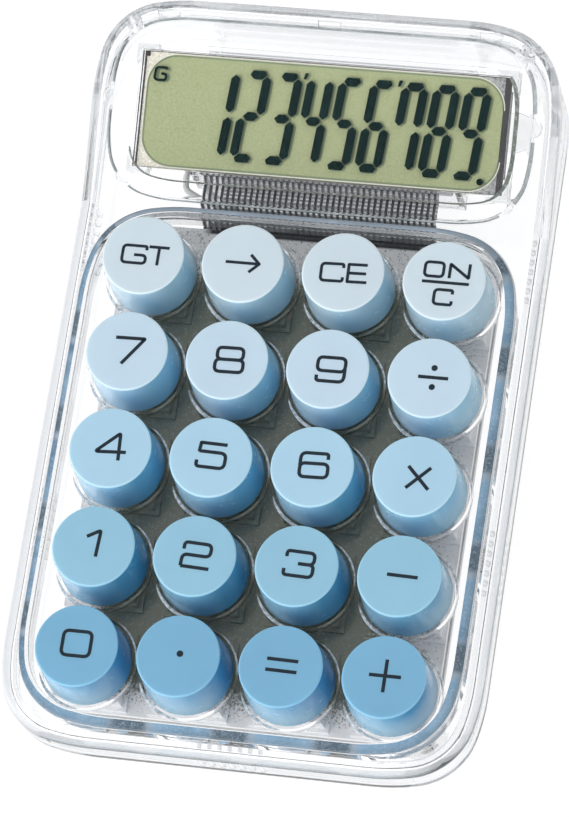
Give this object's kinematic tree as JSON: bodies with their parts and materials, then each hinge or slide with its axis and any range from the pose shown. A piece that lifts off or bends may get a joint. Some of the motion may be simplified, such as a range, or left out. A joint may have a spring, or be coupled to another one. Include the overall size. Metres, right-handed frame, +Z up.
{
  "type": "electronic calculator",
  "caption": "Desktop calculator in a clear two-part case, with round spring-loaded keys in a recessed keypad and a tilted liquid crystal display behind it.",
  "frame": {"origin": "on the desk surface under the middle of the case", "axes": "+X to the user's right, +Y away from the user towards the display, +Z up"},
  "size_m": [0.09, 0.1444, 0.0291],
  "materials": {
    "clear_case": "clear, polished",
    "clear_lens": "clear, polished",
    "lcd": "olive reflective liquid crystal",
    "ribbon": "striped conductor film",
    "plate": "fine speckle",
    "board": "white solder resist",
    "chip": "black epoxy",
    "switch_base": "moulded",
    "switch_top": "translucent",
    "plunger": "moulded",
    "steel": "bright",
    "contact": "bright",
    "battery": "plain printed sleeve, no lettering",
    "lead": "smooth insulation",
    "foot": "soft translucent rubber",
    "key_front": "semi-gloss",
    "key_second": "semi-gloss",
    "key_third": "semi-gloss",
    "key_fourth": "semi-gloss",
    "key_back": "semi-gloss"
  },
  "bodies": {
    "case": {"top_cover": "clear_case", "bottom_cover": "clear_case", "display_window": "clear_lens", "lcd_panel": "lcd", "lcd_holder": "clear_case", "lcd_ribbon": "ribbon", "switch_plate": "plate", "keypad_board": "board", "controller_chip": "chip", "board_components": "chip", "switch_bases": "switch_base", "switch_tops": "switch_top", "switch_springs": "steel", "switch_contacts": "contact", "batteries": "battery", "battery_contacts": "steel", "battery_leads": "lead", "rubber_feet": "foot", "board_fasteners": "steel"},
    "key_0": {"keycap_0": "key_front", "plunger_0": "plunger"},
    "key_dot": {"keycap_dot": "key_front", "plunger_dot": "plunger"},
    "key_equals": {"keycap_equals": "key_front", "plunger_equals": "plunger"},
    "key_plus": {"keycap_plus": "key_front", "plunger_plus": "plunger"},
    "key_1": {"keycap_1": "key_second", "plunger_1": "plunger"},
    "key_2": {"keycap_2": "key_second", "plunger_2": "plunger"},
    "key_3": {"keycap_3": "key_second", "plunger_3": "plunger"},
    "key_minus": {"keycap_minus": "key_second", "plunger_minus": "plunger"},
    "key_4": {"keycap_4": "key_third", "plunger_4": "plunger"},
    "key_5": {"keycap_5": "key_third", "plunger_5": "plunger"},
    "key_6": {"keycap_6": "key_third", "plunger_6": "plunger"},
    "key_multiply": {"keycap_multiply": "key_third", "plunger_multiply": "plunger"},
    "key_7": {"keycap_7": "key_fourth", "plunger_7": "plunger"},
    "key_8": {"keycap_8": "key_fourth", "plunger_8": "plunger"},
    "key_9": {"keycap_9": "key_fourth", "plunger_9": "plunger"},
    "key_divide": {"keycap_divide": "key_fourth", "plunger_divide": "plunger"},
    "key_gt": {"keycap_gt": "key_back", "plunger_gt": "plunger"},
    "key_arrow": {"keycap_arrow": "key_back", "plunger_arrow": "plunger"},
    "key_ce": {"keycap_ce": "key_back", "plunger_ce": "plunger"},
    "key_on_c": {"keycap_on_c": "key_back", "plunger_on_c": "plunger"},
    "battery_door": {"battery_door": "clear_case"}
  },
  "joints": [
    {"name": "press_0", "type": "slide", "parent": "case", "child": "key_0", "axis": [0, 0, -1], "range_m": [0, 0.003], "stiffness_N_per_m": 150, "springref_m": -0.0015, "deforming": ["switch_springs"]},
    {"name": "press_dot", "type": "slide", "parent": "case", "child": "key_dot", "axis": [0, 0, -1], "range_m": [0, 0.003], "stiffness_N_per_m": 150, "springref_m": -0.0015, "deforming": ["switch_springs"]},
    {"name": "press_equals", "type": "slide", "parent": "case", "child": "key_equals", "axis": [0, 0, -1], "range_m": [0, 0.003], "stiffness_N_per_m": 150, "springref_m": -0.0015, "deforming": ["switch_springs"]},
    {"name": "press_plus", "type": "slide", "parent": "case", "child": "key_plus", "axis": [0, 0, -1], "range_m": [0, 0.003], "stiffness_N_per_m": 150, "springref_m": -0.0015, "deforming": ["switch_springs"]},
    {"name": "press_1", "type": "slide", "parent": "case", "child": "key_1", "axis": [0, 0, -1], "range_m": [0, 0.003], "stiffness_N_per_m": 150, "springref_m": -0.0015, "deforming": ["switch_springs"]},
    {"name": "press_2", "type": "slide", "parent": "case", "child": "key_2", "axis": [0, 0, -1], "range_m": [0, 0.003], "stiffness_N_per_m": 150, "springref_m": -0.0015, "deforming": ["switch_springs"]},
    {"name": "press_3", "type": "slide", "parent": "case", "child": "key_3", "axis": [0, 0, -1], "range_m": [0, 0.003], "stiffness_N_per_m": 150, "springref_m": -0.0015, "deforming": ["switch_springs"]},
    {"name": "press_minus", "type": "slide", "parent": "case", "child": "key_minus", "axis": [0, 0, -1], "range_m": [0, 0.003], "stiffness_N_per_m": 150, "springref_m": -0.0015, "deforming": ["switch_springs"]},
    {"name": "press_4", "type": "slide", "parent": "case", "child": "key_4", "axis": [0, 0, -1], "range_m": [0, 0.003], "stiffness_N_per_m": 150, "springref_m": -0.0015, "deforming": ["switch_springs"]},
    {"name": "press_5", "type": "slide", "parent": "case", "child": "key_5", "axis": [0, 0, -1], "range_m": [0, 0.003], "stiffness_N_per_m": 150, "springref_m": -0.0015, "deforming": ["switch_springs"]},
    {"name": "press_6", "type": "slide", "parent": "case", "child": "key_6", "axis": [0, 0, -1], "range_m": [0, 0.003], "stiffness_N_per_m": 150, "springref_m": -0.0015, "deforming": ["switch_springs"]},
    {"name": "press_multiply", "type": "slide", "parent": "case", "child": "key_multiply", "axis": [0, 0, -1], "range_m": [0, 0.003], "stiffness_N_per_m": 150, "springref_m": -0.0015, "deforming": ["switch_springs"]},
    {"name": "press_7", "type": "slide", "parent": "case", "child": "key_7", "axis": [0, 0, -1], "range_m": [0, 0.003], "stiffness_N_per_m": 150, "springref_m": -0.0015, "deforming": ["switch_springs"]},
    {"name": "press_8", "type": "slide", "parent": "case", "child": "key_8", "axis": [0, 0, -1], "range_m": [0, 0.003], "stiffness_N_per_m": 150, "springref_m": -0.0015, "deforming": ["switch_springs"]},
    {"name": "press_9", "type": "slide", "parent": "case", "child": "key_9", "axis": [0, 0, -1], "range_m": [0, 0.003], "stiffness_N_per_m": 150, "springref_m": -0.0015, "deforming": ["switch_springs"]},
    {"name": "press_divide", "type": "slide", "parent": "case", "child": "key_divide", "axis": [0, 0, -1], "range_m": [0, 0.003], "stiffness_N_per_m": 150, "springref_m": -0.0015, "deforming": ["switch_springs"]},
    {"name": "press_gt", "type": "slide", "parent": "case", "child": "key_gt", "axis": [0, 0, -1], "range_m": [0, 0.003], "stiffness_N_per_m": 150, "springref_m": -0.0015, "deforming": ["switch_springs"]},
    {"name": "press_arrow", "type": "slide", "parent": "case", "child": "key_arrow", "axis": [0, 0, -1], "range_m": [0, 0.003], "stiffness_N_per_m": 150, "springref_m": -0.0015, "deforming": ["switch_springs"]},
    {"name": "press_ce", "type": "slide", "parent": "case", "child": "key_ce", "axis": [0, 0, -1], "range_m": [0, 0.003], "stiffness_N_per_m": 150, "springref_m": -0.0015, "deforming": ["switch_springs"]},
    {"name": "press_on_c", "type": "slide", "parent": "case", "child": "key_on_c", "axis": [0, 0, -1], "range_m": [0, 0.003], "stiffness_N_per_m": 150, "springref_m": -0.0015, "deforming": ["switch_springs"]},
    {"name": "battery_door_hinge", "type": "hinge", "parent": "case", "child": "battery_door", "pos_m": [0, 0.04555, 0.00195], "axis": [-1, 0, 0], "range_deg": [0, 70]}
  ]
}
